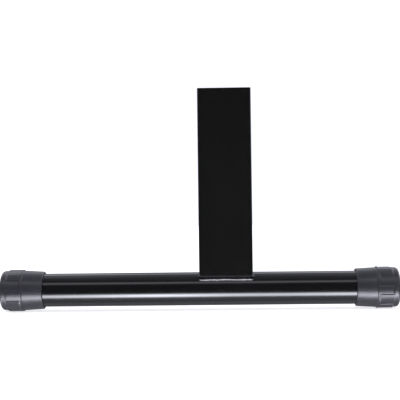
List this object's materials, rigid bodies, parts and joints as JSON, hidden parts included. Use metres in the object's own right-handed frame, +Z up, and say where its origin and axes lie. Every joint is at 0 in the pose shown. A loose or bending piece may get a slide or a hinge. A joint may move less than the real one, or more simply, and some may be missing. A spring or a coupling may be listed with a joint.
{
  "type": "balance beam leg stand",
  "caption": "Leg stand of a balance beam: a rectangular steel upright welded across a round foot tube that has a ribbed plastic cap on each end.",
  "frame": {"origin": "on the floor under the middle of the foot tube, at the centre of the underside of the bounding box", "axes": "+X along the foot tube, towards the end that the upright stands nearer to; +Z up, along the upright; the wide faces of the upright face -Y and +Y"},
  "size_m": [0.597, 0.0626, 0.3313],
  "materials": {
    "foot_tube": "gloss black paint",
    "upright": "gloss black paint",
    "weld": "gloss black paint over a rippled weld bead",
    "end_cap": "satin moulded dark grey plastic"
  },
  "bodies": {
    "stand": {"foot_tube": "foot_tube", "upright": "upright", "weld_front": "weld", "weld_rear": "weld"},
    "cap_left": {"end_cap_left": "end_cap"},
    "cap_right": {"end_cap_right": "end_cap"}
  },
  "joints": [
    {"name": "cap_left_turn", "type": "hinge", "parent": "stand", "child": "cap_left", "pos_m": [-0.2655, 0, 0.03127], "axis": [1, 0, 0], "continuous": true},
    {"name": "cap_right_turn", "type": "hinge", "parent": "stand", "child": "cap_right", "pos_m": [0.2655, 0, 0.03127], "axis": [1, 0, 0], "continuous": true}
  ]
}
